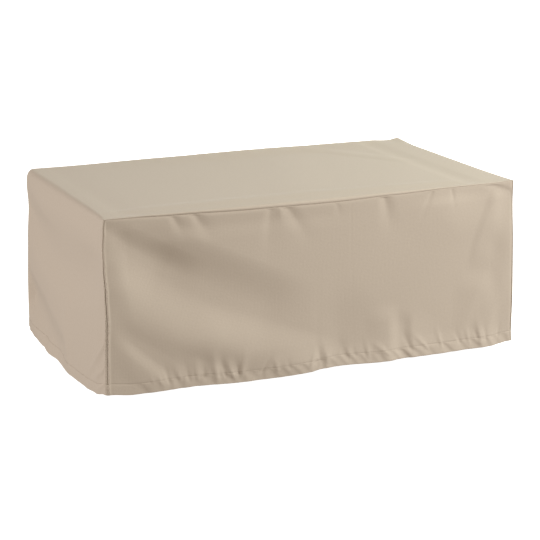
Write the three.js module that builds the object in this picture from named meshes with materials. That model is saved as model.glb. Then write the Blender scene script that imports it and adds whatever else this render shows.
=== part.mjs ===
// A fitted cover for a coffee table, sewn from coated polyester cloth. One long strip makes both
// ends and the top. A front panel and a back panel are sewn to its two long edges.
// It is modelled as it hangs, in millimetres, +Z up, with the table left out. The origin is under
// the middle of the top, on the cloth's underside. +X runs along the length, -Y is the front.
import * as THREE from "three";

// Size of the cover as it hangs, over the outside of the cloth.
const coverLength = 1200;
const coverDepth = 686;
const coverHeight = 470;
// How far each side leans out at the hem.
const hemFlare = 8;

// The cloth, and the turned up hem with its one line of stitching.
const clothThickness = 1.5;
const hemDepth = 28;
const hemThickness = 2.6;
const hemStandsProud = 0.6;
const hemStepHeight = 3;

// Seams: the gap between two sewn edges, and the smallest radius that a cloth corner turns in.
const seamGap = 0.55;
const tightCorner = 0.9;
const rollSteps = 2;
const bendSteps = 4;

// Radius of the soft bend between the top and each end, from the front seam to the back seam.
const leftBend = [
  { at: 0, radius: 3.5 },
  { at: 40, radius: 12 },
  { at: 180, radius: 18 },
  { at: 500, radius: 22 },
  { at: 686, radius: 20 },
];
const rightBend = [
  { at: 0, radius: 3 },
  { at: 40, radius: 6 },
  { at: 200, radius: 9 },
  { at: 560, radius: 8 },
  { at: 686, radius: 5 },
];

// Upright seams, from the top down. roll is how far the strip turns round the corner onto the
// panel; outEnd and outSide are how far the corner stands out past the end and past the panel.
const frontLeftSeam = [
  { at: 0, roll: 3, outEnd: 0, outSide: 0 },
  { at: 30, roll: 3.4, outEnd: 2, outSide: -3 },
  { at: 80, roll: 3.2, outEnd: 3, outSide: -5 },
  { at: 130, roll: 3.5, outEnd: 2, outSide: -3 },
  { at: 200, roll: 5, outEnd: 0, outSide: 1 },
  { at: 270, roll: 7, outEnd: -1, outSide: 2 },
  { at: 350, roll: 7.5, outEnd: 0, outSide: 0 },
  { at: 440, roll: 8, outEnd: 0, outSide: -1 },
  { at: 480, roll: 9, outEnd: 0, outSide: 0 },
];
const frontRightSeam = [
  { at: 0, roll: 2.5, outEnd: 2, outSide: 0 },
  { at: 60, roll: 2.5, outEnd: 2, outSide: -3 },
  { at: 180, roll: 3, outEnd: 2.5, outSide: 1 },
  { at: 320, roll: 4, outEnd: 1.5, outSide: 3 },
  { at: 440, roll: 4, outEnd: 0, outSide: 0 },
  { at: 480, roll: 5, outEnd: 3, outSide: 0 },
];
const backLeftSeam = [
  { at: 0, roll: 4, outEnd: 0, outSide: 0 },
  { at: 40, roll: 4, outEnd: 1.5, outSide: -2 },
  { at: 105, roll: 4, outEnd: -2.5, outSide: -4 },
  { at: 200, roll: 5, outEnd: -0.5, outSide: 2 },
  { at: 320, roll: 6, outEnd: 0.5, outSide: 4 },
  { at: 480, roll: 7, outEnd: 0, outSide: 0 },
];
const backRightSeam = [
  { at: 0, roll: 3, outEnd: 3, outSide: 3 },
  { at: 50, roll: 3, outEnd: 1, outSide: -3 },
  { at: 150, roll: 4, outEnd: 3, outSide: -2 },
  { at: 290, roll: 6, outEnd: 0, outSide: 3 },
  { at: 480, roll: 7, outEnd: 1, outSide: 0 },
];

// Top seams, from the left end. roll as above; dip is how far the edge lies below the flat top.
const frontTopSeam = [
  { at: 0, roll: 2.5, dip: 1 },
  { at: 60, roll: 3, dip: 1 },
  { at: 200, roll: 6.5, dip: 1.5 },
  { at: 420, roll: 10, dip: 2.5 },
  { at: 650, roll: 11, dip: 3 },
  { at: 830, roll: 8, dip: 2 },
  { at: 1020, roll: 4, dip: 1.5 },
  { at: 1150, roll: 3, dip: 1.5 },
  { at: 1200, roll: 2.5, dip: -0.5 },
];
const backTopSeam = [
  { at: 0, roll: 4, dip: -2 },
  { at: 130, roll: 5, dip: -1.5 },
  { at: 400, roll: 8, dip: -4.5 },
  { at: 700, roll: 9, dip: -7 },
  { at: 950, roll: 7, dip: -5 },
  { at: 1100, roll: 5, dip: -4 },
  { at: 1165, roll: 3, dip: 0 },
  { at: 1200, roll: 3, dip: -4.5 },
];

// Hems. down is how low the hem hangs below the top, out is how far it swings out.
const frontHem = [
  { at: 0, down: 465, out: 0 },
  { at: 70, down: 472, out: 1 },
  { at: 230, down: 471, out: 3 },
  { at: 370, down: 476, out: 6 },
  { at: 460, down: 475.5, out: 5 },
  { at: 570, down: 472.5, out: 3 },
  { at: 600, down: 469, out: 2 },
  { at: 660, down: 468, out: 0.5 },
  { at: 780, down: 472, out: 2 },
  { at: 930, down: 471.5, out: 2 },
  { at: 1130, down: 469.5, out: 1 },
  { at: 1200, down: 464, out: 0 },
];
const backHem = [
  { at: 0, down: 466, out: 0 },
  { at: 120, down: 473, out: 3 },
  { at: 300, down: 471, out: 0 },
  { at: 520, down: 477, out: 7 },
  { at: 690, down: 474, out: 3 },
  { at: 860, down: 471, out: 1 },
  { at: 1020, down: 475, out: 5 },
  { at: 1200, down: 465, out: 0 },
];
const leftHem = [
  { at: 0, down: 465, out: 0 },
  { at: 50, down: 475, out: 7 },
  { at: 120, down: 479, out: 12 },
  { at: 210, down: 481, out: 15 },
  { at: 290, down: 481, out: 23 },
  { at: 370, down: 476, out: 22 },
  { at: 435, down: 477, out: 21 },
  { at: 500, down: 472, out: 15 },
  { at: 590, down: 471, out: 11 },
  { at: 650, down: 470, out: 6 },
  { at: 686, down: 466, out: 0 },
];
const rightHem = [
  { at: 0, down: 464, out: 0 },
  { at: 90, down: 472, out: 5 },
  { at: 220, down: 476, out: 11 },
  { at: 330, down: 473, out: 7 },
  { at: 470, down: 478, out: 13 },
  { at: 600, down: 472, out: 6 },
  { at: 686, down: 465, out: 0 },
];

// Main folds, a row for each. A fold runs from one point to another of its piece: at is along the
// piece from its left or front edge and down is below the top, and one that reaches the hem runs on
// past it. bow swings its middle up. out is how far it stands out of the cloth at its start and endOut
// at its end, below zero in a trough. above and below are the widths of its two sides.
const frontFolds = [
  { at: 34, down: 90, endAt: 570, endDown: 344, bow: 0, out: -29, endOut: -9, above: 112, below: 170 },
  { at: -40, down: 26, endAt: 270, endDown: 196, bow: 0, out: -9, endOut: -5, above: 60, below: 120 },
  { at: -110, down: 70, endAt: 350, endDown: 404, bow: -20, out: 10, endOut: 8, above: 95, below: 78 },
  { at: 200, down: 310, endAt: 640, endDown: 476, bow: 0, out: 10, endOut: 12, above: 86, below: 62 },
  { at: -50, down: 277, endAt: 190, endDown: 494, bow: 0, out: 4, endOut: 5, above: 38, below: 60 },
  { at: 1090, down: 10, endAt: 640, endDown: 360, bow: 0, out: 9, endOut: 5, above: 110, below: 120 },
  { at: 1240, down: 120, endAt: 860, endDown: 450, bow: 0, out: -6, endOut: -6, above: 100, below: 100 },
  { at: 1178, down: -10, endAt: 1078, endDown: 260, bow: 14, out: 4, endOut: 2, above: 30, below: 90 },
  { at: 800, down: 306, endAt: 808, endDown: 520, bow: 0, out: 4, endOut: 4, above: 46, below: 70 },
  { at: 856, down: 330, endAt: 860, endDown: 540, bow: 0, out: -3.5, endOut: -4, above: 30, below: 50 },
  { at: 1170, down: 250, endAt: 1030, endDown: 520, bow: 6, out: -3, endOut: -4, above: 44, below: 44 },
  { at: 1110, down: 240, endAt: 1104, endDown: 520, bow: 0, out: 5, endOut: 5, above: 100, below: 60 },
  { at: 280, down: 505, endAt: 1300, endDown: 500, bow: 0, out: 7, endOut: 7, above: 96, below: 40 },
];
const backFolds = [
  { at: -40, down: 20, endAt: 480, endDown: 380, bow: -20, out: -12, endOut: -6, above: 90, below: 100 },
  { at: -40, down: 140, endAt: 330, endDown: 520, bow: -14, out: 7, endOut: 8, above: 100, below: 60 },
  { at: 1240, down: 0, endAt: 740, endDown: 320, bow: -20, out: -10, endOut: -5, above: 90, below: 100 },
  { at: 1240, down: 120, endAt: 860, endDown: 520, bow: -14, out: 6, endOut: 8, above: 90, below: 70 },
  { at: 500, down: 190, endAt: 545, endDown: 540, bow: 6, out: 4, endOut: 8, above: 75, below: 75 },
  { at: 730, down: 230, endAt: 690, endDown: 540, bow: 0, out: -3, endOut: -8, above: 60, below: 70 },
];
const leftFolds = [
  { at: -60, down: 62, endAt: 760, endDown: 60, bow: 0, out: 7, endOut: 7, above: 50, below: 70 },
  { at: 740, down: 70, endAt: -40, endDown: 130, bow: -100, out: -11, endOut: -10, above: 95, below: 90 },
  { at: 800, down: 338, endAt: 250, endDown: 476, bow: 8, out: -24, endOut: -16, above: 94, below: 72 },
  { at: 800, down: 205, endAt: 240, endDown: 300, bow: 0, out: 4, endOut: 3, above: 90, below: 90 },
  { at: 330, down: 380, endAt: 270, endDown: 520, bow: 0, out: -4, endOut: -5, above: 50, below: 60 },
  { at: 150, down: 484, endAt: -6, endDown: 326, bow: 0, out: 4, endOut: 4, above: 30, below: 30 },
];
const rightFolds = [
  { at: -40, down: 30, endAt: 520, endDown: 290, bow: -14, out: -9, endOut: -5, above: 90, below: 95 },
  { at: -40, down: 150, endAt: 430, endDown: 470, bow: -10, out: 6, endOut: 5, above: 90, below: 60 },
  { at: 720, down: 70, endAt: 440, endDown: 520, bow: 8, out: -5, endOut: -7, above: 70, below: 70 },
  { at: 215, down: 260, endAt: 228, endDown: 540, bow: 0, out: 4, endOut: 7, above: 60, below: 60 },
];
// On the top, down is the distance back from the front edge.
const topFolds = [
  { at: -100, down: 62, endAt: 1250, endDown: 34, bow: -24, out: 2.2, endOut: 1.8, above: 45, below: 34 },
  { at: 72, down: -160, endAt: 76, endDown: 850, bow: 0, out: -2.4, endOut: -2, above: 60, below: 38 },
  { at: 1084, down: -160, endAt: 1080, endDown: 850, bow: 4, out: -2.8, endOut: -2.8, above: 38, below: 44 },
  { at: 800, down: 760, endAt: 1110, endDown: 300, bow: 0, out: 1.8, endOut: 1.4, above: 44, below: 44 },
  { at: 560, down: 40, endAt: 800, endDown: 640, bow: 0, out: 2.2, endOut: 2.2, above: 120, below: 130 },
];

// Rows and columns of the cloth, as the share of a panel's height, length or depth.
const heightRows = [
  0.064, 0.115, 0.17, 0.225, 0.28, 0.335, 0.39, 0.445, 0.5, 0.555, 0.61, 0.665, 0.72, 0.775, 0.825, 0.87,
  0.91,
];
const lengthCells = 40;
const depthCells = 14;
// Folds fade out over these distances: from a panel's upright seams, from the top seams, and from
// the corners of an end. At the two ends of a fold its fading takes a share of its length.
const panelFade = 70;
const topFade = 45;
const endFade = 32;
const foldTaper = 0.25;

// Smooth step from 0 to 1.
const ease = (t) => {
  const u = Math.min(1, Math.max(0, t));
  return u * u * (3 - 2 * u);
};
const mix = (a, b, t) => a + (b - a) * t;

// Value of one column of a table at a place between its rows.
function read(table, column, at) {
  const next = table.findIndex((row) => row.at >= at);
  if (next === 0) return table[0][column];
  if (next < 0) return table[table.length - 1][column];
  const a = table[next - 1];
  const b = table[next];
  return mix(a[column], b[column], ease((at - a.at) / (b.at - a.at)));
}

// Height of one fold at a point: a soft ridge or trough that swells and fades at its two ends.
function foldHeight(fold, at, down) {
  const runAt = fold.endAt - fold.at;
  const runDown = fold.endDown - fold.down;
  const length = Math.hypot(runAt, runDown);
  const share = ((at - fold.at) * runAt + (down - fold.down) * runDown) / (length * length);
  if (share <= 0 || share >= 1) return 0;
  const swell = ease(share / foldTaper) * ease((1 - share) / foldTaper);
  const turn = runAt < 0 ? -1 : 1;
  const straight = (turn * ((at - fold.at) * runDown - (down - fold.down) * runAt)) / length;
  const side = straight - fold.bow * 4 * share * (1 - share);
  const distance = Math.abs(side) / (side > 0 ? fold.above : fold.below);
  if (distance >= 1) return 0;
  return mix(fold.out, fold.endOut, share) * swell * (1 - distance * distance) ** 2;
}

// Height of the cloth over its plain surface.
function clothHeight(folds, at, down) {
  return folds.reduce((total, fold) => total + foldHeight(fold, at, down), 0);
}

// The four sides. hem and seams are read along +X on the long sides and from the front on the ends.
const front = { out: -1, folds: frontFolds, hem: frontHem, top: frontTopSeam };
front.left = frontLeftSeam;
front.right = frontRightSeam;
const back = { out: 1, folds: backFolds, hem: backHem, top: backTopSeam };
back.left = backLeftSeam;
back.right = backRightSeam;
const leftEnd = { out: -1, folds: leftFolds, hem: leftHem, bend: leftBend };
leftEnd.front = frontLeftSeam;
leftEnd.back = backLeftSeam;
const rightEnd = { out: 1, folds: rightFolds, hem: rightHem, bend: rightBend };
rightEnd.front = frontRightSeam;
rightEnd.back = backRightSeam;

const outerTop = clothThickness;
const halfLength = coverLength / 2;
const halfDepth = coverDepth / 2;

// The rows of a side from its top seam to its hem, with two close rows where the hem begins.
const hemTop = 1 - hemDepth / coverHeight;
const hemStepTop = hemTop - hemStepHeight / coverHeight;
const rows = [...heightRows, hemStepTop, hemTop, 1];

// How far a row swings out with its hem.
const swing = (down) => ease(down / coverHeight) ** 1.4;
const flare = (down) => (hemFlare * down) / coverHeight;
// The hem is thicker than the cloth above it and stands a little proud of it.
const isHem = (row) => row >= hemTop;
const thicknessAt = (row) => (isHem(row) ? hemThickness : clothThickness);
const proudAt = (row) => (isHem(row) ? hemStandsProud : 0);

// Depth of a row below the top at a place along a side.
function rowDown(side, at, row) {
  const top = side.top ? read(side.top, "dip", at) : 0;
  return mix(top, read(side.hem, "down", at), row);
}

// The weight of a corner's own lean at a distance from it.
const cornerReach = 140;
const cornerWeight = (distance) => 1 - ease(distance / cornerReach);

// The line of one upright corner: where the end's plane and the panel's plane meet.
function cornerLine(endOut, sideOut, seam, down) {
  const x = endOut * (halfLength + flare(down) + read(seam, "outEnd", down));
  const y = sideOut * (halfDepth + flare(down) + read(seam, "outSide", down));
  return { x, y };
}

// A point of the front or back panel. at and row are shares of the length and height. edge names
// the seams that the point lies on.
function panelPoint(side, share, row) {
  const at = share * coverLength;
  const onLeft = share === 0;
  const onRight = share === 1;
  const onTop = row === 0;
  const down = rowDown(side, at, row);
  const left = cornerLine(-1, side.out, side.left, down);
  const right = cornerLine(1, side.out, side.right, down);
  const rollTop = read(side.top, "roll", at);
  const rollLeft = read(side.left, "roll", down);
  const rollRight = read(side.right, "roll", down);
  let x = mix(left.x, right.x, share);
  let drop = down;
  if (onTop) drop += rollTop + seamGap;
  if (onLeft) x += rollLeft + seamGap;
  if (onRight) x -= rollRight + seamGap;
  if (onTop && (onLeft || onRight)) {
    // The sewn corner is rounded: its point lies on the middle of the round, which takes half the dip.
    drop -= read(side.top, "dip", at) / 2;
    const bend = onLeft ? leftBend : rightBend;
    const radius = cornerRadius(bend, side.out) - rollTop;
    const inset = radius * (1 - Math.SQRT1_2);
    x += onLeft ? inset : -inset;
    drop += inset;
  }
  const toSide = Math.min(at, coverLength - at) - (onLeft ? 0 : rollLeft);
  const toTop = drop - down + row * coverHeight - rollTop;
  const fade = ease(toSide / panelFade) * ease(toTop / topFade);
  const lean =
    (left.y * side.out - halfDepth - flare(down)) * cornerWeight(at) +
    (right.y * side.out - halfDepth - flare(down)) * cornerWeight(coverLength - at);
  const hang = read(side.hem, "out", at) * swing(down);
  const folds = clothHeight(side.folds, at, down) * fade;
  const outward = halfDepth + flare(down) + lean + hang + folds + proudAt(row);
  return new THREE.Vector3(x, side.out * outward, outerTop - drop);
}

// Radius of the bend where it meets the front seam or the back seam.
function cornerRadius(bend, sideOut) {
  return sideOut < 0 ? bend[0].radius : bend[bend.length - 1].radius;
}

// Stations along the strip: up the left end, round the bend, over the top and down the right end.
function stripStations() {
  const stations = [];
  const fromHem = [...rows].reverse();
  const overTop = Array.from({ length: lengthCells - 1 }, (_, i) => (i + 1) / lengthCells);
  const bend = Array.from({ length: bendSteps + 1 }, (_, i) => i / bendSteps);
  fromHem.forEach((row) => stations.push({ end: leftEnd, row }));
  bend.forEach((turn) => stations.push({ end: leftEnd, turn }));
  overTop.forEach((share) => stations.push({ share }));
  [...bend].reverse().forEach((turn) => stations.push({ end: rightEnd, turn }));
  rows.forEach((row) => stations.push({ end: rightEnd, row }));
  return stations;
}

// Lines across the strip: round the front roll, over the depth and round the back roll.
// A line is a share of the depth, and on a roll also the share of the quarter turn to the seam.
function stripLines() {
  const lines = [];
  for (let i = 0; i <= rollSteps; i += 1) lines.push({ share: 0, side: front, turn: 1 - i / rollSteps });
  for (let i = 1; i < depthCells; i += 1) lines.push({ share: i / depthCells });
  for (let i = 0; i <= rollSteps; i += 1) lines.push({ share: 1, side: back, turn: i / rollSteps });
  return lines;
}

// Inset and setback of a line that lies on a roll of the given size.
function rollAt(line, roll) {
  if (!line.side) return { inset: 0, setback: 0 };
  const angle = (line.turn * Math.PI) / 2;
  return { inset: roll * (1 - Math.cos(angle)), setback: roll * (1 - Math.sin(angle)) };
}

// A point on a flat stretch of an end.
function endPoint(station, line) {
  const end = station.end;
  const across = line.share * coverDepth;
  const down = mix(0, read(end.hem, "down", across), station.row);
  const atFront = cornerLine(end.out, -1, end.front, down);
  const atBack = cornerLine(end.out, 1, end.back, down);
  const seam = line.share < 0.5 ? end.front : end.back;
  const { inset, setback } = rollAt(line, read(seam, "roll", down));
  const y = mix(atFront.y, atBack.y, line.share) + (line.share < 0.5 ? setback : -setback);
  const lean =
    read(end.front, "outEnd", down) * cornerWeight(across) +
    read(end.back, "outEnd", down) * cornerWeight(coverDepth - across);
  const hang = read(end.hem, "out", across) * swing(down);
  const toSeam = Math.min(across, coverDepth - across);
  const folds = clothHeight(end.folds, across, down) * ease(toSeam / endFade);
  const outward = halfLength + flare(down) + lean + hang + folds + proudAt(station.row) - inset;
  return new THREE.Vector3(end.out * outward, y, outerTop - down);
}

// Where the front or back edge of the strip lies when it is seen from the top.
function topEdge(side, at) {
  const lean =
    read(side.left, "outSide", 0) * cornerWeight(at) +
    read(side.right, "outSide", 0) * cornerWeight(coverLength - at);
  return side.out * (halfDepth + lean);
}

// Height of the top's surface over the flat: its edges dip, and its folds stand up.
const edgeReach = 110;
function topHeight(at, across) {
  const dipFront = read(frontTopSeam, "dip", at) * cornerLift(across);
  const dipBack = read(backTopSeam, "dip", at) * cornerLift(coverDepth - across);
  const toSeam = Math.min(across, coverDepth - across);
  return clothHeight(topFolds, at, across) * ease(toSeam / topFade) - dipFront - dipBack;
}
const cornerLift = (distance) => (1 - Math.min(1, distance / edgeReach)) ** 2;

// A point on the flat top, or on a bend when turn is given: 0 at the end's plane, 1 at the top.
function topPoint(station, line) {
  const across = line.share * coverDepth;
  const end = station.end;
  let at = (station.share ?? 0) * coverLength;
  if (end) at = end.out < 0 ? 0 : coverLength;
  const near = line.share < 0.5 ? front : back;
  const { inset, setback } = rollAt(line, read(near.top, "roll", at));
  const y = mix(topEdge(front, at), topEdge(back, at), line.share) - near.out * setback;
  if (!end) {
    const x = at - halfLength;
    return new THREE.Vector3(x, y, outerTop + topHeight(at, across) - inset);
  }
  const radius = Math.max(read(end.bend, "radius", across), tightCorner);
  const lean =
    read(end.front, "outEnd", 0) * cornerWeight(across) +
    read(end.back, "outEnd", 0) * cornerWeight(coverDepth - across);
  const angle = (station.turn * Math.PI) / 2;
  const reach = radius - inset;
  const x = end.out * (halfLength + lean - radius + reach * Math.cos(angle));
  const z = outerTop + topHeight(at, across) * station.turn - radius + reach * Math.sin(angle);
  return new THREE.Vector3(x, y, z);
}

// A closed sheet from a grid of outside points: every point gets a partner one thickness inside,
// and the four edges are closed. facing turns the outside the right way. A point on a seam gets its
// inward direction from seamFacing, so that two sewn edges stay parallel.
function sheetGeometry(grid, thickness, facing, seamFacing) {
  const height = grid.length;
  const width = grid[0].length;
  const inner = grid.map((line, i) =>
    line.map((point, j) => {
      const alongWidth = grid[i][Math.min(j + 1, width - 1)].clone().sub(grid[i][Math.max(j - 1, 0)]);
      const alongHeight = grid[Math.min(i + 1, height - 1)][j].clone().sub(grid[Math.max(i - 1, 0)][j]);
      const plain = alongWidth.cross(alongHeight).normalize().multiplyScalar(facing);
      const outward = seamFacing(i, j) ?? plain;
      return point.clone().addScaledVector(outward, -thickness(i, j));
    }),
  );
  const points = [...grid.flat(), ...inner.flat()];
  const triangles = [];
  const outside = (i, j) => i * width + j;
  const inside = (i, j) => height * width + i * width + j;
  const quad = (a, b, c, d) => {
    if (facing > 0) triangles.push(a, b, c, a, c, d);
    else triangles.push(a, c, b, a, d, c);
  };
  for (let i = 0; i < height - 1; i += 1) {
    for (let j = 0; j < width - 1; j += 1) {
      quad(outside(i, j), outside(i, j + 1), outside(i + 1, j + 1), outside(i + 1, j));
      quad(inside(i, j), inside(i + 1, j), inside(i + 1, j + 1), inside(i, j + 1));
    }
  }
  const last = height - 1;
  for (let j = 0; j < width - 1; j += 1) {
    quad(outside(0, j + 1), outside(0, j), inside(0, j), inside(0, j + 1));
    quad(outside(last, j), outside(last, j + 1), inside(last, j + 1), inside(last, j));
  }
  for (let i = 0; i < height - 1; i += 1) {
    quad(outside(i, 0), outside(i + 1, 0), inside(i + 1, 0), inside(i, 0));
    quad(outside(i + 1, width - 1), outside(i, width - 1), inside(i, width - 1), inside(i + 1, width - 1));
  }
  const geometry = new THREE.BufferGeometry();
  const places = points.flatMap((p) => [p.x, p.y, p.z]);
  geometry.setAttribute("position", new THREE.Float32BufferAttribute(places, 3));
  geometry.setIndex(triangles);
  geometry.computeVertexNormals();
  return geometry;
}

function coatedPolyester() {
  return new THREE.MeshStandardMaterial({ color: 0xc4b29c, roughness: 0.85, metalness: 0 });
}

// Front or back panel: rows from the top seam to the hem, columns from left to right.
function panel(name, side) {
  const allRows = [0, ...rows];
  const columns = Array.from({ length: lengthCells + 1 }, (_, i) => i / lengthCells);
  const grid = allRows.map((row) => columns.map((share) => panelPoint(side, share, row)));
  const onSeam = (i, j) => i === 0 || j === 0 || j === lengthCells;
  const seamFacing = (i, j) => (onSeam(i, j) ? new THREE.Vector3(0, side.out, 0) : null);
  const geometry = sheetGeometry(grid, (i) => thicknessAt(allRows[i]), side.out, seamFacing);
  const mesh = new THREE.Mesh(geometry, coatedPolyester());
  mesh.name = name;
  return mesh;
}

// The strip that makes both ends and the top.
function strip(name) {
  const stations = stripStations();
  const lines = stripLines();
  const onTop = (station) => station.row === undefined;
  const place = (station, line) => (onTop(station) ? topPoint(station, line) : endPoint(station, line));
  const grid = stations.map((station) => lines.map((line) => place(station, line)));
  const thickness = (i) => (onTop(stations[i]) ? clothThickness : thicknessAt(stations[i].row));
  const seamFacing = (i, j) => (lines[j].turn === 1 ? new THREE.Vector3(0, lines[j].side.out, 0) : null);
  const mesh = new THREE.Mesh(sheetGeometry(grid, thickness, -1, seamFacing), coatedPolyester());
  mesh.name = name;
  return mesh;
}

const cover = new THREE.Group();
cover.add(strip("top_and_ends"));
cover.add(panel("front_panel", front));
cover.add(panel("back_panel", back));

export default cover;
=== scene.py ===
import math

import bmesh
import bpy
import numpy as np
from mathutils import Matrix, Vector


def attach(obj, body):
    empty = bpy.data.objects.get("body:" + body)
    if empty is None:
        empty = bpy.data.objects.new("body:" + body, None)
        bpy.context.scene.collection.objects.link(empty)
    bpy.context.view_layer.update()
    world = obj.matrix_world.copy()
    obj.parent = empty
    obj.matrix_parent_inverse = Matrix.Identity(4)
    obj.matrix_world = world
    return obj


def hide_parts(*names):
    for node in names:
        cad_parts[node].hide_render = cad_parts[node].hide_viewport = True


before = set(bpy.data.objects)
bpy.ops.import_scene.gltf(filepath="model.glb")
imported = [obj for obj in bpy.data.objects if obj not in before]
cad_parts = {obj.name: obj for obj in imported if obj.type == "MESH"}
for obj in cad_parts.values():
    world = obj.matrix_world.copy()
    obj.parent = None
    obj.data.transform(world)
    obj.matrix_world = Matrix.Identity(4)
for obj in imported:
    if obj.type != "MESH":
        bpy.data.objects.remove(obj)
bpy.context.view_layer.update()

# Studio. A white floor that sweeps out to the horizon and a dim warm room. Softboxes stand at the
# front right and at the left, hang over the right half and stand low behind. The camera looks from
# the front left.
scene = bpy.context.scene
scene.view_settings.view_transform = "Standard"
FLOOR_Z = -0.5
FLOOR_REACH = 60


def linear(hex_colour):
    """An sRGB hex colour as the linear colour that a shader takes."""
    parts = [int(hex_colour[i : i + 2], 16) / 255 for i in (0, 2, 4)]
    return (*(p / 12.92 if p <= 0.04045 else ((p + 0.055) / 1.055) ** 2.4 for p in parts), 1)


def node(tree, kind, settings=None, links=None):
    """Adds a shader node. settings are its sockets or its own options, links are sources by socket."""
    made = tree.nodes.new(kind)
    for name, value in (settings or {}).items():
        if name in made.inputs:
            made.inputs[name].default_value = value
        else:
            setattr(made, name, value)
    for name, source in (links or {}).items():
        tree.links.new(source, made.inputs[name])
    return made


floor_mesh = bmesh.new()
bmesh.ops.create_grid(floor_mesh, x_segments=1, y_segments=1, size=FLOOR_REACH / 2)
bmesh.ops.translate(floor_mesh, verts=floor_mesh.verts, vec=(0, 0, FLOOR_Z))
floor = bpy.data.objects.new("floor", bpy.data.meshes.new("floor"))
floor_mesh.to_mesh(floor.data)
floor_mesh.free()
scene.collection.objects.link(floor)
# The floor throws no light back, so that the room alone fills the shadows.
floor.visible_diffuse = False
floor.visible_glossy = False

# White painted studio sweep, lit so evenly that it shows hardly any shadow.
sweep = bpy.data.materials.new("white_studio_sweep")
sweep.use_nodes = True
tree = sweep.node_tree
tree.nodes.clear()
paint = node(tree, "ShaderNodeBsdfDiffuse", {"Color": linear("d8d8d8")})
glow = node(tree, "ShaderNodeEmission", {"Color": (1, 1, 1, 1), "Strength": 1.0})
both = node(tree, "ShaderNodeAddShader")
tree.links.new(paint.outputs[0], both.inputs[0])
tree.links.new(glow.outputs[0], both.inputs[1])
node(tree, "ShaderNodeOutputMaterial", links={"Surface": both.outputs[0]})
floor.data.materials.append(sweep)

# The walls throw a warm light back, against which the softboxes look a little blue.
room = bpy.data.worlds.new("studio_room")
scene.world = room
room.use_nodes = True
room.node_tree.nodes["Background"].inputs["Color"].default_value = (1, 0.915, 0.84, 1)
room.node_tree.nodes["Background"].inputs["Strength"].default_value = 0.435

STUDIO_MIDDLE = (0, 0, -0.2)


def softbox(name, place, size, watts, tint):
    """A square area light at a place, turned to the studio's middle."""
    lamp = bpy.data.lights.new(name, "AREA")
    lamp.color = tint
    lamp.size = size
    lamp.energy = watts
    held = bpy.data.objects.new(name, lamp)
    held.location = place
    held.rotation_euler = (Vector(STUDIO_MIDDLE) - Vector(place)).to_track_quat("-Z", "Y").to_euler()
    scene.collection.objects.link(held)


softbox("front_right_softbox", (3.1, -2.6, 1.6), 1.4, 176, (0.93, 0.96, 1))
softbox("left_softbox", (-4, -0.4, 0.7), 1.4, 81, (0.94, 0.94, 1))
softbox("overhead_softbox", (2.1, 0, 2), 1.5, 27, (0.82, 1, 0.88))
softbox("back_softbox", (1.6, 3.4, -0.1), 0.7, 42, (0.94, 0.96, 1))

# The camera's place in metres, and how far it looks down and to the right of straight back.
CAMERA_PLACE = (-1.98183, -4.53772, 1.02435)
LOOKS_DOWN = math.radians(14.72)
LOOKS_RIGHT = math.radians(23.711)
view = bpy.data.cameras.new("camera")
view.lens = 119.1
view.sensor_width = 36
camera = bpy.data.objects.new("camera", view)
camera.location = CAMERA_PLACE
camera.rotation_euler = (math.pi / 2 - LOOKS_DOWN, 0, -LOOKS_RIGHT)
scene.collection.objects.link(camera)
scene.camera = camera

# Front panel. A rectangle of coated polyester, sewn to the strip along its top and its two sides.
# Its lower edge is turned up and stitched. It hangs in long slanting folds from its upper corners.
# All sizes of the cloth are in millimetres. Depths run down from the top's outside.
MM = 0.001
LENGTH = 1200
DEPTH = 686
HEIGHT = 470
HALF_LENGTH = LENGTH / 2
HALF_DEPTH = DEPTH / 2
# The flat of the top has its outside this far over the frame's origin.
OUTER_TOP = 1.5
CLOTH = 0.6
# How much further out a side stands at its hem than at the top.
HEM_FLARE = 8
HEM_DEPTH = 28
STITCHES_DOWN = HEIGHT - HEM_DEPTH
# How far the doubled cloth of the hem stands proud, and the height over which it comes to that.
HEM_PROUD = 0.4
HEM_STEP = 10
# The groove that the stitching pulls into the cloth.
GROOVE_DEPTH = 0.8
GROOVE_WIDTH = 1.8
# How deep the allowance of a sewn edge goes inside.
ALLOWANCE = 8
# Half the thickness of the folded hem.
FOLD_RADIUS = 1.1
# A higher power keeps the swing of the hem nearer to the hem.
SWING_CURVE = 1.4
# How far from an upright seam the lean of its corner reaches.
CORNER_REACH = 140
# Folds fade out to the seams at the sides and at the top over these widths, and creases over less.
SIDE_FADE = 70
TOP_FADE = 45
CREASE_FADE = 6
# The share of its length over which a fold swells at its start and fades at its end.
TAPER = 0.25
# A crease starts at this share of its width and spreads by the next one along its length.
CREASE_START = 0.55
CREASE_SPREAD = 0.75
# How round the crest of a crease is, as a share of its width.
CREST_ROUND = 0.3
# A crease swells over this share of its length before the line that it is drawn from.
CREASE_LEAD = 0.25


def ease(t):
    """Smooth step from 0 to 1."""
    u = np.clip(t, 0, 1)
    return u * u * (3 - 2 * u)


def read(rows, column, at):
    """One column of values at places between its rows, with a soft step from row to row."""
    at = np.asarray(at, float)
    value = np.full(at.shape, float(rows[column][-1]))
    value[at <= rows["at"][0]] = rows[column][0]
    for i in range(len(rows["at"]) - 1):
        start, stop = rows["at"][i], rows["at"][i + 1]
        inside = (at > start) & (at <= stop)
        a, b = rows[column][i], rows[column][i + 1]
        value[inside] = a + (b - a) * ease((at[inside] - start) / (stop - start))
    return value


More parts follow.
